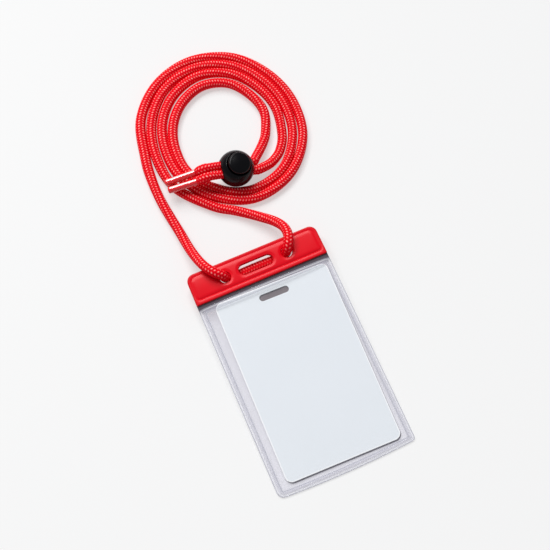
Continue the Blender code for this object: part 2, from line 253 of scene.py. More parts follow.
def softened(curve, sigma):
    """The curve with its small kinks evened out by a moving average; its ends stay."""
    reach = int(ceil(3 * sigma))
    weight = np.exp(-0.5 * (np.arange(-reach, reach + 1) / sigma) ** 2)
    weight /= weight.sum()
    before = 2 * curve[0] - curve[reach:0:-1]
    after = 2 * curve[-1] - curve[-2 : -reach - 2 : -1]
    padded = np.vstack([before, curve, after])
    return np.stack([np.convolve(padded[:, k], weight, mode="valid") for k in range(3)], axis=1)


def carried_frames(curve):
    """Tangents, and two cross directions that turn as little as the curve allows."""
    tangents = np.gradient(curve, axis=0)
    tangents /= np.linalg.norm(tangents, axis=1)[:, None]
    side = np.cross(tangents[0], (0.0, 0.0, 1.0))
    side /= np.linalg.norm(side)
    sides = [side]
    for tangent in tangents[1:]:
        side = side - tangent * side.dot(tangent)
        side = side / np.linalg.norm(side)
        sides.append(side)
    sides = np.array(sides)
    return tangents, sides, np.cross(tangents, sides)


def braid_height(column, row):
    """Height, from 0 to 1, of the yarn crowns at a place on the braid, counted in columns and rows."""
    nearest = np.round(column)
    odd = np.mod(nearest, 2.0)
    across = column - nearest
    along = row - 0.5 * odd
    along = along - np.round(along)
    lean = across - BRAID_LEAN * (1.0 - 2.0 * odd) * along
    return np.clip(1.0 - (lean / 0.62) ** 2 - (along / 0.62) ** 2, 0.0, 1.0) ** 0.6


def braid_material(name, glints):
    shade = Shade(name, Roughness=0.5)
    shade.set(Specular_IOR_Level=0.08)
    place = shade.node("ShaderNodeUVMap", uv_map="braid").outputs[0]
    split = shade.node("ShaderNodeSeparateXYZ", {0: place})
    column, row = split.outputs[0], split.outputs[1]

    nearest = shade.math("ROUND", column)
    odd = shade.math("FLOORED_MODULO", nearest, 2.0)
    across = shade.math("SUBTRACT", column, nearest)
    shifted = shade.math("MULTIPLY_ADD", odd, -0.5, row)
    along = shade.math("SUBTRACT", shifted, shade.math("ROUND", shifted))
    sign = shade.math("MULTIPLY_ADD", odd, 2.0 * BRAID_LEAN, -BRAID_LEAN)
    lean = shade.math("MULTIPLY_ADD", sign, along, across)

    def spot(width, length):
        first = shade.math("POWER", shade.math("DIVIDE", lean, width), 2.0)
        second = shade.math("POWER", shade.math("DIVIDE", along, length), 2.0)
        return shade.math("SUBTRACT", 1.0, shade.math("SQRT", shade.math("ADD", first, second)), clamp=True)

    crown = spot(0.62, 0.62)
    glint_spot = spot(0.27, 0.31)
    blotch = shade.noise(900.0, detail=2.0)
    uneven = shade.ramp(blotch, (0.35, 0.35), (0.62, 1.0))
    threads = shade.math("SINE", shade.math("MULTIPLY", lean, 70.0))

    # Painted shade: the valleys between the yarn crowns are coloured darker.
    valley_shade = shade.ramp(crown, (0.0, 0.7), (0.3, 0.0))
    base = shade.mix(valley_shade, (0.86, 0.0, 0.010), (0.40, 0.0, 0.003))
    normal = shade.node("ShaderNodeSeparateXYZ", {0: shade.node("ShaderNodeNewGeometry").outputs["Normal"]})
    # Painted highlight: pale glints on the yarn crowns, only where the braid faces up towards the light;
    # glints sets how strong they are.
    upward = shade.ramp(normal.outputs[2], (0.35, 0.0), (0.90, 0.9))
    glint = shade.math("MULTIPLY", shade.ramp(glint_spot, (0.05, 0.0), (0.6, glints)), uneven)
    glint = shade.math("MULTIPLY", glint, upward)
    shade.set(Base_Color=shade.mix(glint, base, (1.0, 0.55, 0.50)))
    height = shade.math("MULTIPLY_ADD", threads, 0.06, crown)
    shade.bump(height, 0.18 * MM, 0.4)
    return shade.material


def tube_mesh(name, rings, uv_columns, uv_rows, look):
    """A closed tube through an array of rings, with a braid map and flat ends."""
    count, around = rings.shape[:2]
    i, j = np.meshgrid(np.arange(count - 1), np.arange(around), indexing="ij")
    k = (j + 1) % around
    quads = np.stack([i * around + j, i * around + k, (i + 1) * around + k, (i + 1) * around + j], axis=-1)
    quads = quads.reshape(-1, 4).tolist()
    caps = [list(range(around))[::-1], [(count - 1) * around + m for m in range(around)]]
    mesh = bpy.data.meshes.new(name)
    mesh.from_pydata((rings.reshape(-1, 3) * MM).tolist(), [], quads + caps)
    layer = mesh.uv_layers.new(name="braid")
    columns = np.stack([uv_columns[j], uv_columns[j + 1], uv_columns[j + 1], uv_columns[j]], axis=-1)
    rows = np.stack([uv_rows[i], uv_rows[i], uv_rows[i + 1], uv_rows[i + 1]], axis=-1)
    uv = np.stack([columns, rows], axis=-1).reshape(-1, 2)
    uv = np.vstack([uv, np.zeros((2 * around, 2))])
    layer.data.foreach_set("uv", uv.ravel())
    mesh.shade_smooth()
    mesh.materials.append(look)
    return link(bpy.data.objects.new(name, mesh))


def build_cord():
    """One braid from tip to tip, in three pieces that meet behind the bar."""
    look = braid_material("braided_cord", 1.0)
    # Painted shade: a copy of the braid with fainter painted glints, for the stretch in the bar's shade.
    shaded_look = braid_material("braided_cord_painted_shade", 0.35)
    left, right = left_route(), right_route()
    middle = [MIDDLE_POINT]
    spacing = BRAID_PITCH / RINGS_PER_PITCH
    curve = smooth_curve(left[::-1] + middle + right, spacing)
    _, sides, ups = carried_frames(curve)
    along = np.arange(len(curve)) * spacing
    rows = along / BRAID_PITCH
    turn = 2 * pi * (along / BRAID_TWIST + 0.06 * np.sin(along / 17.0))
    columns = np.arange(RING_POINTS + 1) * BRAID_COLUMNS / RING_POINTS
    height = braid_height(columns[None, :-1], rows[:, None])
    radius = BRAID_RADIUS + BRAID_CROWN * (height - 0.5)
    radius = radius * (cord_neck(along, along[-1]) * pinched(curve))[:, None]
    angle = 2 * pi * np.arange(RING_POINTS)[None, :] / RING_POINTS + turn[:, None]
    out = np.cos(angle)[..., None] * sides[:, None, :] + np.sin(angle)[..., None] * ups[:, None, :]
    out[..., :2] *= cord_spread(curve)[:, None, None]
    rings = curve[:, None, :] + radius[..., None] * out

    middle_index = int(np.argmin(np.abs(curve - np.array(MIDDLE_POINT)).sum(axis=1)))
    half = int(round(COVERED_HALF / spacing))
    cuts = [0, middle_index - half, middle_index + half, len(curve) - 1]
    tips = {"left": build_tip("tip_left", LEFT_TIP), "right": build_tip("tip_right", RIGHT_TIP)}
    names = ("braid_left", "braid_behind_bar", "braid_right")
    nodes = ("cord_left", "cord_behind_bar", "cord_right")
    for name, node, low, high in zip(names, nodes, cuts, cuts[1:]):
        covered = name == "braid_behind_bar"
        piece_look = shaded_look if covered else look
        piece = tube_mesh(name, rings[low : high + 1], columns, rows[low : high + 1], piece_look)
        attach(piece, "holder")
        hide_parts(node)
        path = curve[low : high + 1]
        if name == "braid_left":
            path = path[::-1]
        if covered:
            continue


def cord_spread(curve):
    """How much wider than tall the braid lies: most where the coil's strands lean on each other."""
    beside = smoothstep(26.0, 2.0, curve[:, 0]) * smoothstep(98.0, 112.0, curve[:, 1])
    return 1.0 + 0.09 * beside * smoothstep(3.5, 2.5, curve[:, 2])


def pinched(curve):
    """The braid's width factor where the lock squeezes it, all along the lock's travel."""
    middle = BALL_CENTRE + LOCK_TURN @ Vector((LOCK_TRAVEL / 2, 0.0, 0.0))
    reach = np.linalg.norm(curve - np.array(middle), axis=1)
    return 1.0 - 0.11 * smoothstep(12.2, 10.6, reach)


def cord_neck(along, length):
    """The braid's width factor: drawn in where each end enters its tip."""
    to_end = np.minimum(along, length - along)
    return 0.74 + 0.26 * np.clip((to_end - 0.5) / 1.3, 0.0, 1.0) ** 0.6


def tip_material():
    shade = Shade("tip_film", Roughness=0.16)
    shade.set(Coat_Weight=0.6, Coat_Roughness=0.08, Specular_IOR_Level=0.7)
    faint = shade.noise(700.0, detail=2.0)
    film = shade.mix(faint, (0.66, 0.004, 0.010), (0.86, 0.010, 0.020))
    # Painted highlight: a pale streak along the sleeve's upper side.
    painted_highlight = shade.ramp(shade.attribute("painted_highlight"), (0.35, 0.0), (0.75, 1.0))
    shade.set(Base_Color=shade.mix(painted_highlight, film, (1.0, 0.82, 0.80)))
    shade.bump(faint, 0.10 * MM, 0.4)
    return shade.material


def build_tip(name, ends):
    """The clear film wrapped on a cord's end: a slim sleeve, a little uneven, with a flat mouth."""
    start, end = ends
    length = (end - start).length
    radius = TIP_DIAMETER / 2
    profile = [(0.0, 0.0), (radius * 0.86, 0.0), (radius * 0.98, 0.12), (radius * 1.02, 0.4)]
    steps = 24
    for i in range(1, steps):
        z = 0.4 + (length - 1.0) * i / steps
        profile.append((radius * (1.0 + 0.018 * sin(z * 1.9) + 0.012 * sin(z * 4.3 + 1.0)), z))
    profile += [(radius * 0.99, length - 0.45), (radius * 0.90, length - 0.12)]
    profile += [(radius * 0.72, length), (0.0, length)]
    piece = turned(name, profile, 72, tip_material())
    turn = (end - start).to_track_quat("Z", "Y").to_matrix().to_4x4()
    piece.data.transform(Matrix.Translation(start * MM) @ turn)
    add_painted_highlight(piece, start, end)
    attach(piece, "holder")
    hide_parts("cord_" + name)
    return piece


def add_painted_highlight(piece, start, end):
    """A painted highlight: a pale line along the sleeve, a little back from its top, on the side facing the
    light.
    """
    axis = (end - start).normalized()
    highlight_way = Vector((0.0, sin(HIGHLIGHT_ANGLE), cos(HIGHLIGHT_ANGLE)))
    highlight_way = (highlight_way - axis * highlight_way.dot(axis)).normalized()
    level = []
    for vertex in piece.data.vertices:
        place = vertex.co / MM - start
        out = place - axis * place.dot(axis)
        facing = out.normalized().dot(highlight_way) if out.length > 1e-6 else 0.0
        near_end = min(place.dot(axis) - 0.3, (end - start).length - 0.6 - place.dot(axis))
        level.append(max(0.0, 1.0 - 14.0 * (1.0 - facing)) if near_end > 0.0 else 0.0)
    piece.data.attributes.new("painted_highlight", "FLOAT", "POINT").data.foreach_set("value", level)


def turned(name, profile, steps, look):
    """A closed solid of revolution about z from (radius, height) points in millimetres, foot first."""
    bm = bmesh.new()
    rings = []
    for radius, height in profile:
        if radius == 0.0:
            rings.append([bm.verts.new((0.0, 0.0, height * MM))])
            continue
        ring = []
        for i in range(steps):
            angle = 2 * pi * i / steps
            ring.append(bm.verts.new((radius * MM * cos(angle), radius * MM * sin(angle), height * MM)))
        rings.append(ring)
    for lower, upper in zip(rings, rings[1:]):
        for i in range(steps):
            j = (i + 1) % steps
            corners = (
                lower[i % len(lower)],
                lower[j % len(lower)],
                upper[j % len(upper)],
                upper[i % len(upper)],
            )
            bm.faces.new(dict.fromkeys(corners))
    bmesh.ops.recalc_face_normals(bm, faces=bm.faces)
    mesh = bpy.data.meshes.new(name)
    bm.to_mesh(mesh)
    bm.free()
    mesh.shade_smooth()
    mesh.set_sharp_from_angle(angle=radians(50))
    if look is not None:
        mesh.materials.append(look)
    return link(bpy.data.objects.new(name, mesh))


# Sheets of the holder, drawn in the holder's own plane in millimetres: y runs from the pocket's
# bottom edge to the bar's top edge, z out of the front.


HOLDER_LENGTH = 107.0
HOLDER_LEAN = radians(3.0)
BAR_BASE = 92.4
HOLE_LINE = 99.9
HOLE_REACH = 15.0
HOLE_WIDTH = 5.2
SLOT_LENGTH = 16.7
SLOT_WIDTH = 5.0
MOUTH_HEIGHT = 90.2
PANEL_THICKNESS = 1.85


def holder_frame():
    base_y = PANEL_THICKNESS / 2 * sin(HOLDER_LEAN) - HOLDER_LENGTH / 2 * cos(HOLDER_LEAN)
    return Matrix.Translation((0.0, base_y * MM, 0.0)) @ Matrix.Rotation(HOLDER_LEAN, 4, "X")


def rounded_polygon(corners, radii, inset, steps=8):
    """A convex counter-clockwise outline moved inwards by an inset, its corners rounded."""
    corners = [Vector(c) for c in corners]
    count = len(corners)
    points = []
    for i, (corner, radius) in enumerate(zip(corners, radii)):
        before = (corner - corners[i - 1]).normalized()
        after = (corners[(i + 1) % count] - corner).normalized()
        inward = (Vector((-before.y, before.x)), Vector((-after.y, after.x)))
        middle = (inward[0] + inward[1]).normalized()
        stretch = 1.0 / middle.dot(inward[0])
        centre = corner + middle * stretch * max(radius, inset + 0.05)
        reach = max(radius - inset, 0.05)
        start = -inward[0]
        sweep = before.angle(after)
        for k in range(steps + 1):
            turn = Matrix.Rotation(sweep * k / steps, 2)
            points.append(centre + turn @ start * reach)
    return np.array([tuple(p) for p in points])


def ring_outline(centre, length, width, grown, steps=14):
    """A slot's outline, or a circle's where length equals width, moved outwards by some distance."""
    radius = width / 2 + grown
    straight = (length - width) / 2
    points = []
    for side, first in ((1, -pi / 2), (-1, pi / 2)):
        for k in range(steps + 1):
            angle = first + pi * k / steps
            x = centre[0] + side * straight + radius * cos(angle)
            points.append((x, centre[1] + radius * sin(angle)))
    if straight == 0.0:
        points = points[:steps] + points[steps + 1 : -1]
    return np.array(points)


def nested_loops(outline, insets, step):
    """The outline at each inset, with points added in matching places along the long sides."""
    widest = outline(insets[0])
    lengths = np.linalg.norm(np.roll(widest, -1, axis=0) - widest, axis=1)
    parts = np.maximum(1, np.round(lengths / step)).astype(int)
    loops = []
    for inset in insets:
        loop = outline(inset)
        after = np.roll(loop, -1, axis=0)
        dense = [a + (b - a) * i / n for a, b, n in zip(loop, after, parts) for i in range(n)]
        loops.append(np.array(dense))
    return loops


def distance_to(outline, points):
    """Each point's distance to a closed outline, positive inside it."""
    start = outline[None, :, :]
    step = np.roll(outline, -1, axis=0)[None, :, :] - start
    offset = points[:, None, :] - start
    share = np.clip((offset * step).sum(-1) / (step**2).sum(-1), 0.0, 1.0)
    gap = np.linalg.norm(offset - share[..., None] * step, axis=-1).min(axis=1)
    crosses = (offset[..., 1] < 0.0) != (offset[..., 1] < step[..., 1])
    slope = np.where(step[..., 1] == 0.0, 1.0, step[..., 1])
    at = offset[..., 1] / slope * step[..., 0]
    inside = (crosses & (offset[..., 0] < at)).sum(axis=1) % 2 == 1
    return np.where(inside, gap, -gap)


def smoothstep(low, high, value):
    t = np.clip((value - low) / (high - low), 0.0, 1.0)
    return t * t * (3 - 2 * t)


def edge_fall(depth, radius):
    """How far a rounded edge has fallen at some depth in from it."""
    inner = radius - np.clip(depth, 0.0, radius)
    return radius - np.sqrt(radius**2 - inner**2)


def relief_sheet(name, look, outline, insets, holes, hole_steps, grid, surfaces, extra_loops=(), warp=None):
    """A closed sheet in the holder's plane whose top and bottom follow height functions.

    outline and each hole are functions of an inset; surfaces(x, y, depth, hole) gives bottom and top,
    where depth is the distance in from the outline and hole the distance to the nearest opening.
    """
    families = [(outline, insets)] + [(hole, hole_steps) for hole in holes] + list(extra_loops)
    loops = [loop for shape, steps in families for loop in nested_loops(shape, steps, grid)]
    points = []
    edges = []
    for loop in loops:
        first = len(points)
        points += [tuple(p) for p in loop]
        edges += [(first + i, first + (i + 1) % len(loop)) for i in range(len(loop))]
    rim = outline(0.0)
    low, high = rim.min(axis=0), rim.max(axis=0)
    xs = np.arange(low[0], high[0], grid)
    ys = np.arange(low[1], high[1], grid * 0.866)
    lattice = np.array([(x + (0.5 * grid if r % 2 else 0.0), y) for r, y in enumerate(ys) for x in xs])
    keep = distance_to(rim, lattice) > insets[-1] + 0.45 * grid
    for hole in holes:
        keep &= distance_to(hole(0.0), lattice) < -hole_steps[-1] - 0.45 * grid
    for shape, steps in extra_loops:
        for step in steps:
            keep &= np.abs(distance_to(shape(step), lattice)) > 0.35 * grid
    points += [tuple(p) for p in lattice[keep]]

    result = delaunay_2d_cdt([Vector(p) for p in points], edges, [], 0, 1e-5)
    flat = np.array([tuple(v) for v in result[0]])
    triangles = np.array([list(f) for f in result[2] if len(f) == 3])
    a, b, c = flat[triangles[:, 0]], flat[triangles[:, 1]], flat[triangles[:, 2]]
    area = np.cross(b - a, c - a)
    triangles = np.where((area > 0)[:, None], triangles, triangles[:, ::-1])
    centre = (a + b + c) / 3
    kept = distance_to(rim, centre) > 0.0
    for hole in holes:
        kept &= distance_to(hole(0.0), centre) < 0.0
    triangles = triangles[kept]
    used, triangles = np.unique(triangles, return_inverse=True)
    triangles = triangles.reshape(-1, 3)
    flat = flat[used]

    depth = np.abs(distance_to(rim, flat))
    hole_gap = np.full(len(flat), 99.0)
    for hole in holes:
        hole_gap = np.minimum(hole_gap, np.abs(distance_to(hole(0.0), flat)))
    bottom, top = surfaces(flat[:, 0], flat[:, 1], depth, hole_gap)
    place = flat if warp is None else warp(flat)
    count = len(flat)
    vertices = np.vstack([np.column_stack([place, top]), np.column_stack([place, bottom])])

    ways = np.vstack([triangles[:, [0, 1]], triangles[:, [1, 2]], triangles[:, [2, 0]]])
    known = set(map(tuple, ways.tolist()))
    walls = [(i + count, j + count, j, i) for i, j in known if (j, i) not in known]
    faces = triangles.tolist() + (triangles[:, ::-1] + count).tolist() + walls
    mesh = bpy.data.meshes.new(name)
    mesh.from_pydata((vertices * MM).tolist(), [], faces)
    mesh.transform(holder_frame())
    for label, values in (("depth", depth), ("opening", hole_gap), ("height", flat[:, 1])):
        layer = mesh.attributes.new(label, "FLOAT", "POINT")
        layer.data.foreach_set("value", np.concatenate([values, values]))
    mesh.shade_smooth()
    mesh.set_sharp_from_angle(angle=radians(55))
    mesh.materials.append(look)
    return link(bpy.data.objects.new(name, mesh))


# Header bar


def bar_outline(inset):
    corners = [(-31.8, BAR_BASE), (31.8, BAR_BASE), (31.5, HOLDER_LENGTH), (-31.5, HOLDER_LENGTH)]
    return rounded_polygon(corners, (0.4, 0.4, 3.5, 3.5), inset)


def bar_weld(inset):
    """The weld's inner line: further from the bar's base than from its other edges."""
    corners = [(-30.1, 94.7), (30.1, 94.7), (29.8, 105.4), (-29.8, 105.4)]
    return rounded_polygon(corners, (1.2, 1.2, 2.6, 2.6), inset)


def bar_slot(grown):
    return ring_outline((0.0, HOLE_LINE), SLOT_LENGTH, SLOT_WIDTH, grown)


def left_hole(grown):
    return ring_outline((-HOLE_REACH, HOLE_LINE), HOLE_WIDTH, HOLE_WIDTH, grown)


def right_hole(grown):
    return ring_outline((HOLE_REACH, HOLE_LINE), HOLE_WIDTH, HOLE_WIDTH, grown)


def bar_relief(x, y, depth, opening):
    """The puffed strip: a rounded rim, a weld groove, and a soft cushion with rims at its openings."""
    weld = distance_to(bar_weld(0.0), np.column_stack([x, y]))
    cushion = smoothstep(0.0, 1.3, weld) * smoothstep(0.1, 1.3, opening)
    crown = 1.0 - ((y - 100.0) / 5.6) ** 2
    height = 0.88 + 0.10 * cushion + 0.14 * cushion * np.clip(crown, 0.0, 1.0)
    at_base = smoothstep(97.0, 95.0, y)
    height += (0.06 + 0.12 * at_base) * smoothstep(0.0, -0.8, weld)
    height -= (0.07 + 0.17 * at_base) * np.exp(-((weld / 0.28) ** 2)) * smoothstep(0.6, 1.6, opening)
    height -= 0.05 * np.exp(-(((opening - 0.75) / 0.25) ** 2))
    height += 0.035 * np.sin(x * 0.31 + 0.6) * np.sin(y * 0.42) * cushion
    height -= edge_fall(depth, 0.42)
    height -= edge_fall(opening, 0.3)
    return height


def red_vinyl():
    shade = Shade("red_vinyl", Roughness=0.3)
    shade.set(Specular_IOR_Level=0.2)
    cloud = shade.noise(60.0, detail=4.0)
    fine = shade.noise(2600.0, detail=2.0)
    # Painted shade: the colour darkens along the rounded outer edge.
    painted_edge_lighting = shade.ramp(shade.attribute("depth"), (0.0, 1.0), (0.9, 0.0))
    base = shade.mix(cloud, (0.68, 0.0, 0.008), (0.75, 0.001, 0.011))
    shade.set(Base_Color=shade.mix(painted_edge_lighting, base, (0.56, 0.0, 0.004)))
    shade.bump(shade.math("MULTIPLY_ADD", fine, 0.25, cloud), 0.05 * MM, 0.35)
    return shade.material


def build_bar():
    look = red_vinyl()
    insets = (0.0, 0.05, 0.14, 0.27, 0.42, 0.8)
    hole_steps = (0.0, 0.1, 0.3, 0.55, 0.75, 0.95, 1.3, 1.8)
    weld_loops = ((bar_weld, (-0.4, -0.2, 0.0, 0.2, 0.45, 0.9, 1.5)),)

    def front(x, y, depth, opening):
        return np.full(len(x), 0.52) + 0.12 * edge_fall(depth, 0.3), 0.5 + bar_relief(x, y, depth, opening)

    def back(x, y, depth, opening):
        return -0.12 - 0.62 * bar_relief(x, y, depth, opening), np.full(len(x), -0.1)

    openings = (left_hole, bar_slot, right_hole)
    faces = (("bar_front", "bar_front_strip", front), ("bar_back", "bar_back_strip", back))
    for name, node, surfaces in faces:
        piece = relief_sheet(
            name, look, bar_outline, insets, openings, hole_steps, 0.8, surfaces, extra_loops=weld_loops
        )
        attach(piece, "holder")
        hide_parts(node)


# Pocket


POCKET_HALF_BOTTOM = 32.4
POCKET_HALF_TOP = 31.8
POCKET_BOW = 1.1


def pocket_outline(top):
    """The pocket up to some height, as a function of an inset."""
    half = POCKET_HALF_BOTTOM
    half_top = half + (POCKET_HALF_TOP - half) * top / BAR_BASE
    corners = [(-half, 0.0), (half, 0.0), (half_top, top), (-half_top, top)]
    return lambda inset: rounded_polygon(corners, (3.0, 1.6, 0.3, 0.3), inset)


def bowed(flat):
    """The bottom edge hangs a little lower in its middle."""
    x, y = flat[:, 0], flat[:, 1]
    droop = POCKET_BOW * (1.0 - (x / POCKET_HALF_BOTTOM) ** 2) * smoothstep(16.0, 0.0, y)
    return np.column_stack([x, y - droop])


def clear_vinyl(name, clear, haze, edge, shaded=False):
    """Clear sheet: nearly see-through in the middle, cloudier along its welds and edges, with a painted
    highlight just in from its edge.
    """
    shade = Shade(name, Roughness=0.1)
    shade.set(Specular_IOR_Level=0.5)
    depth = shade.math("MULTIPLY", shade.attribute("depth"), 0.1)
    outer_line = ((0.02, 0.9), (0.045, 0.0), (0.09, 0.0))
    weld_line = ((0.12, 0.25), (0.20, 0.35), (0.24, 1.0), (0.285, 0.0))
    line = shade.ramp(depth, *outer_line, *weld_line)
    # Painted highlight: a pale, more opaque line just in from the sheet's edge.
    rim = shade.ramp(depth, (0.035, 0.0), (0.055, 1.0), (0.085, 1.0), (0.11, 0.0))
    alpha = shade.math("MULTIPLY_ADD", line, edge, clear)
    alpha = shade.math("MULTIPLY_ADD", rim, edge, alpha, clamp=True)
    haze = shade.mix(line, haze, tuple(0.62 * level for level in haze))
    haze = shade.mix(rim, haze, (0.92, 0.92, 0.96))
    color = haze
    # Where the card and the bar shade the sheet, it is drawn darker.
    if shaded:
        height = shade.math("MULTIPLY_ADD", shade.attribute("height"), 0.1, -8.4)
        dark = shade.ramp(height, (0.30, 0.0), (0.46, 0.40), (0.60, 1.0))
        ring = shade.ramp(shade.attribute("card_shade"), (0.44, 0.0), (0.56, 0.85))
        color = shade.mix(shade.math("MAXIMUM", dark, ring), haze, (0.10, 0.085, 0.105))
        alpha = shade.math("MAXIMUM", alpha, shade.math("MULTIPLY", dark, 0.92))
        alpha = shade.math("MAXIMUM", alpha, ring)
    shade.set(Base_Color=color, Alpha=alpha)
    shade.bump(shade.noise(30.0, detail=1.0), 0.3 * MM, 0.1)
    return shade.material


def build_pocket():
    insets = (0.0, 0.06, 0.2, 0.45, 0.9, 1.4, 1.8, 2.05, 2.3, 2.55, 2.8, 3.1, 3.4, 3.8, 4.6)
    back_look = clear_vinyl("clear_back_vinyl", 0.17, (0.64, 0.62, 0.76), 0.2, shaded=True)
    front_look = clear_vinyl("clear_front_vinyl", 0.045, (0.80, 0.81, 0.92), 0.3)
    walls = pocket_outline(130.0)(0.0)

    def back(x, y, depth, opening):
        groove = 0.12 * np.exp(-(((depth - 2.3) / 0.3) ** 2)) * smoothstep(90.0, 86.0, y)
        return edge_fall(depth, 0.12), 0.42 - groove - edge_fall(depth, 0.12)

    def front(x, y, depth, opening):
        side = distance_to(walls, np.column_stack([x, y]))
        rise = smoothstep(0.7, 1.8, side)
        crown = np.clip(1.0 - (x / 31.0) ** 2, 0.0, 1.0) ** 0.7
        swell = 0.45 * crown * smoothstep(0.0, 30.0, y)
        lip = 0.9 * crown * smoothstep(78.0, MOUTH_HEIGHT, y) ** 2
        ripple = 0.07 * np.sin(x * 0.16 + y * 0.05) * np.sin(y * 0.11 + 0.7)
        top = 0.86 + rise * (0.98 + swell + lip + ripple) - 0.05 * np.exp(-(((side - 2.3) / 0.3) ** 2))
        top = top - edge_fall(depth, 0.14)
        return top - 0.36 + 1.6 * edge_fall(depth, 0.14), top

    sheets = (
        ("pocket_back", "back_panel", pocket_outline(BAR_BASE + 1.5), back, back_look),
        ("pocket_front", "front_panel", pocket_outline(MOUTH_HEIGHT), front, front_look),
    )
    for name, node, outline, surfaces, look in sheets:
        behind = name == "pocket_back"
        loops = ((card_shade_edge, (-0.3, -0.12, 0.0, 0.12, 0.4)),) if behind else ()
        piece = relief_sheet(
            name, look, outline, insets, (), (0.0,), 2.2, surfaces, extra_loops=loops, warp=bowed
        )
        if behind:
            add_card_shade(piece)
        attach(piece, "holder")
        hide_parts(node)


def card_shade_edge(inset):
    """The card's own outline moved a little towards the pocket's bottom and right side."""
    return placed_on_card(card_outline(inset)) + np.array((0.26, -0.62))


def add_card_shade(piece):
    """How far each point lies inside the card's shade, as a level that is 0.5 on its edge."""
    mesh = piece.data
    spots = np.empty(3 * len(mesh.vertices))
    mesh.vertices.foreach_get("co", spots)
    shift = np.array(holder_frame().translation) / MM
    flat = ((spots.reshape(-1, 3) / MM - shift) @ np.array(holder_frame().to_3x3()))[:, :2]
    level = 0.5 + distance_to(card_shade_edge(0.0), flat)
    mesh.attributes.new("card_shade", "FLOAT", "POINT").data.foreach_set("value", level)


# Card


CARD_SIZE = (54.0, 85.6)
CARD_CENTRE = (1.3, 46.55)
CARD_TURN = radians(-1.2)
CARD_LOW = 0.55
CARD_HIGH = 1.31
CARD_CORNER = 3.18
CARD_SLOT_LENGTH = 14.0
CARD_SLOT_WIDTH = 3.0
CARD_SLOT_DROP = 5.0


def card_outline(inset):
    half_x, half_y = CARD_SIZE[0] / 2, CARD_SIZE[1] / 2
    corners = [(-half_x, -half_y), (half_x, -half_y), (half_x, half_y), (-half_x, half_y)]
    return rounded_polygon(corners, (CARD_CORNER,) * 4, inset)


def card_slot(grown):
    centre = (0.0, CARD_SIZE[1] / 2 - CARD_SLOT_DROP)
    return ring_outline(centre, CARD_SLOT_LENGTH, CARD_SLOT_WIDTH, grown)


def placed_on_card(flat):
    """Points of the card's own plane, where the card lies in the pocket."""
    turn = np.array(((cos(CARD_TURN), sin(CARD_TURN)), (-sin(CARD_TURN), cos(CARD_TURN))))
    return flat @ turn + np.array(CARD_CENTRE)


def build_card():
    shade = Shade("card_plastic", Roughness=0.28)
    cloud = shade.noise(30.0, detail=2.0)
    # Painted highlight: the colour is paler along the card's edge.
    painted_edge_lighting = shade.ramp(shade.attribute("depth"), (0.0, 1.0), (0.35, 1.0), (0.6, 0.0))
    base = shade.mix(cloud, (0.745, 0.785, 0.815), (0.77, 0.805, 0.835))
    shade.set(Base_Color=shade.mix(painted_edge_lighting, base, (0.93, 0.94, 0.95)), Specular_IOR_Level=0.3)
    shade.bump(shade.noise(1500.0, detail=1.0), 0.02 * MM, 0.2)

    def surfaces(x, y, depth, opening):
        fall = edge_fall(depth, 0.14) + edge_fall(opening, 0.12)
        return CARD_LOW + fall, CARD_HIGH - fall

    steps = (0.0, 0.03, 0.08, 0.14, 0.4, 0.8)
    piece = relief_sheet(
        "card", shade.material, card_outline, steps, (card_slot,), steps, 4.0, surfaces, warp=placed_on_card
    )
    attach(piece, "card")
    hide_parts("id_card")

    # Painted shadow: a thin dark sheet inside the card's slot stands in for the shade seen through it, and
    # closes the slot.
    shadow = Shade("slot_shade", Roughness=0.6, Specular_IOR_Level=0.1)
    shadow.set(Base_Color=shadow.mix(shadow.noise(120.0), (0.08, 0.064, 0.068), (0.26, 0.22, 0.225)))

    def slot_shadow_surfaces(x, y, depth, opening):
        return np.full(len(x), CARD_LOW + 0.05), np.full(len(x), CARD_LOW + 0.10)

    def slot_shadow_outline(inset):
        return card_slot(-inset - 0.02)

    slot_shadow_sheet = relief_sheet(
        "card_slot_painted_shadow", shadow.material, slot_shadow_outline, (0.0, 0.4), (), (0.0,), 1.0, slot_shadow_surfaces, warp=placed_on_card
    )
    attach(slot_shadow_sheet, "card")


# Ball lock, in its own frame: the cord bore along x and the button along z.


SHELL_RADIUS = 8.4
BORE_REACH = 9.6
BORE_HALF_HEIGHT = 2.5
BORE_FLARE = 2.6
BORE_THROAT = 6.2
WELL_MOUTH = 5.95
WELL_RADIUS = 5.4
WELL_FLOOR = -5.7
BUTTON_RADIUS = 5.2
BUTTON_TOP = 8.5
BUTTON_FOOT = -3.0
WINDOW_SIZE = (14.0, 9.3, 7.4)
WINDOW_MIDDLE = 1.1


def lock_frame():
    return Matrix.Translation(BALL_CENTRE * MM) @ LOCK_TURN.to_4x4()


def cut_and_place(piece, cutter):
    """Take the cutter out of the piece, bake the cut, and put the piece in the lock's place."""
    boolean = piece.modifiers.new("cut", "BOOLEAN")
    boolean.operation = "DIFFERENCE"
    boolean.solver = "EXACT"
    boolean.object = cutter
    bpy.context.view_layer.update()
    baked = bpy.data.meshes.new_from_object(piece.evaluated_get(bpy.context.evaluated_depsgraph_get()))
    piece.modifiers.clear()
    piece.data = baked
    bpy.data.objects.remove(cutter)
    baked.shade_smooth()
    baked.set_sharp_from_angle(angle=radians(35))
    baked.transform(lock_frame())


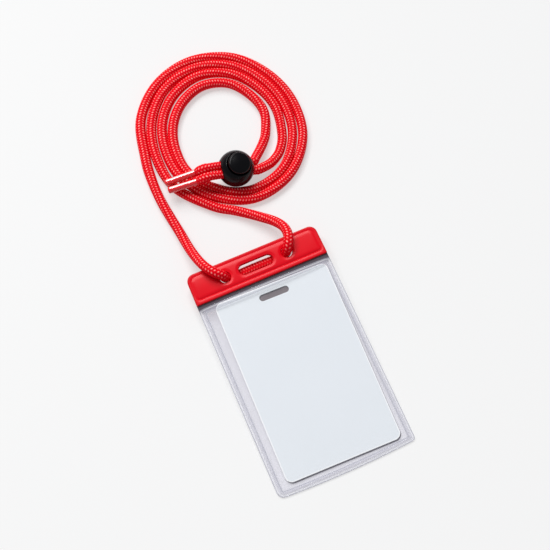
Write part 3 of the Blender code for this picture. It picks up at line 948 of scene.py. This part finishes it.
def bore_cutter():
    """Both strands' room along x, widening smoothly to its mouths."""
    bm = bmesh.new()
    rings = []
    for i in range(25):
        x = (i / 24 - 0.5) * 2 * BORE_REACH
        past = max(0.0, abs(x) - BORE_THROAT)
        flare = BORE_FLARE * (past / (BORE_REACH - BORE_THROAT)) ** 2
        length = 2 * STRAND_OFFSET + 2 * BORE_HALF_HEIGHT
        outline = ring_outline((0.0, 0.0), length, 2 * BORE_HALF_HEIGHT, flare)
        rings.append([bm.verts.new((x * MM, p[0] * MM, p[1] * MM)) for p in outline])
    bm.faces.new(rings[0])
    bm.faces.new(rings[-1])
    for near, far in zip(rings, rings[1:]):
        for i in range(len(near)):
            j = (i + 1) % len(near)
            bm.faces.new((near[i], near[j], far[j], far[i]))
    bmesh.ops.recalc_face_normals(bm, faces=bm.faces)
    mesh = bpy.data.meshes.new("bore_cutter")
    bm.to_mesh(mesh)
    bm.free()
    return link(bpy.data.objects.new("bore_cutter", mesh))


def window_cutter():
    mesh = bpy.data.meshes.new("window_cutter")
    bm = bmesh.new()
    bmesh.ops.create_cube(bm, size=1.0)
    size = Vector(WINDOW_SIZE) * MM
    bmesh.ops.scale(bm, verts=bm.verts, vec=size)
    bmesh.ops.translate(bm, verts=bm.verts, vec=(0.0, 0.0, WINDOW_MIDDLE * MM))
    bm.to_mesh(mesh)
    bm.free()
    return link(bpy.data.objects.new("window_cutter", mesh))


def black_plastic():
    shade = Shade("black_plastic", Roughness=0.25, Base_Color=(0.001, 0.001, 0.002))
    shade.set(Specular_IOR_Level=0.16)
    shade.bump(shade.noise(260.0, detail=2.0), 0.05 * MM, 0.2)
    return shade.material


def build_lock():
    look = black_plastic()
    rim_height = sqrt(SHELL_RADIUS**2 - WELL_MOUTH**2)
    profile = [(0.0, -SHELL_RADIUS)]
    lowest = -pi / 2
    highest = np.arcsin(rim_height / SHELL_RADIUS)
    for i in range(1, 61):
        angle = lowest + (highest - lowest) * i / 60
        profile.append((SHELL_RADIUS * cos(angle), SHELL_RADIUS * sin(angle)))
    for i in range(1, 7):
        angle = i / 6 * pi / 2
        profile.append((WELL_MOUTH - 0.5 * sin(angle), rim_height + 0.06 - 0.45 * (1 - cos(angle))))
    profile += [(WELL_RADIUS, rim_height - 0.8), (WELL_RADIUS, WELL_FLOOR), (0.0, WELL_FLOOR)]
    ball = turned("lock_ball", profile, 96, look)
    cut_and_place(ball, bore_cutter())
    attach(ball, "lock")
    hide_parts("lock_barrel")

    profile = [(0.0, BUTTON_FOOT), (BUTTON_RADIUS, BUTTON_FOOT), (BUTTON_RADIUS, BUTTON_TOP - 1.9)]
    for i in range(1, 9):
        angle = i / 8 * pi / 2
        profile.append((BUTTON_RADIUS - 1.1 + 1.1 * cos(angle), BUTTON_TOP - 1.6 + 1.1 * sin(angle)))
    dome = ((3.2, 0.32), (2.0, 0.16), (1.0, 0.06), (0.0, 0.0))
    profile += [(radius, BUTTON_TOP - drop) for radius, drop in dome]
    button = turned("push_button", profile, 80, look)
    cut_and_place(button, window_cutter())
    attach(button, "button")
    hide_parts("lock_button")


def finish_spring():
    shade = Shade("spring_steel", Roughness=0.3, Metallic=1.0)
    shade.set(Base_Color=shade.mix(shade.noise(900.0), (0.45, 0.46, 0.48), (0.62, 0.63, 0.65)))
    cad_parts["lock_spring"].data.materials[0] = shade.material


# Table and light


FLOOR_GLOW = 0.48


def build_floor():
    shade = Shade("pale_floor", Roughness=0.9, Base_Color=(0.40, 0.40, 0.40), Specular_IOR_Level=0.0)
    shade.set(Emission_Color=(1.0, 1.0, 1.0), Emission_Strength=FLOOR_GLOW)
    mesh = bpy.data.meshes.new("floor")
    side = 3.0
    corners = [(-side, -side, 0.0), (side, -side, 0.0), (side, side, 0.0), (-side, side, 0.0)]
    mesh.from_pydata(corners, [], [(0, 1, 2, 3)])
    mesh.materials.append(shade.material)
    floor = link(bpy.data.objects.new("floor", mesh))
    floor.location.z = -0.05 * MM


def area_light(name, azimuth, elevation, distance, size, power, target=VIEW_TARGET):
    """A soft square light; azimuth 0 shines from +Y and 90 from +X."""
    data = bpy.data.lights.new(name, "AREA")
    data.size = size
    data.energy = power
    light = link(bpy.data.objects.new(name, data))
    a, e = radians(azimuth), radians(elevation)
    way = Vector((sin(a) * cos(e), cos(a) * cos(e), sin(e)))
    light.location = target + way * distance
    light.rotation_euler = way.to_track_quat("Z", "Y").to_euler()


def soft_sun(name, azimuth, elevation, strength, spread):
    """Even light from far away, blurred over a wide angle."""
    data = bpy.data.lights.new(name, "SUN")
    data.energy = strength
    data.angle = radians(spread)
    light = link(bpy.data.objects.new(name, data))
    a, e = radians(azimuth), radians(elevation)
    way = Vector((sin(a) * cos(e), cos(a) * cos(e), sin(e)))
    light.rotation_euler = way.to_track_quat("Z", "Y").to_euler()


def light_studio():
    world = bpy.data.worlds.new("studio")
    world.use_nodes = True
    background = world.node_tree.nodes["Background"]
    background.inputs["Color"].default_value = (0.97, 0.98, 1.0, 1.0)
    background.inputs["Strength"].default_value = 0.34
    bpy.context.scene.world = world
    bpy.context.scene.view_settings.view_transform = "Standard"
    soft_sun("key", 5.0, 52.0, 2.5, 35.0)
    area_light("glints", -35.0, 50.0, 0.7, 0.12, 1.0)


add_camera()
build_cord()
build_bar()
build_pocket()
build_card()
build_lock()
finish_spring()
build_floor()
light_studio()
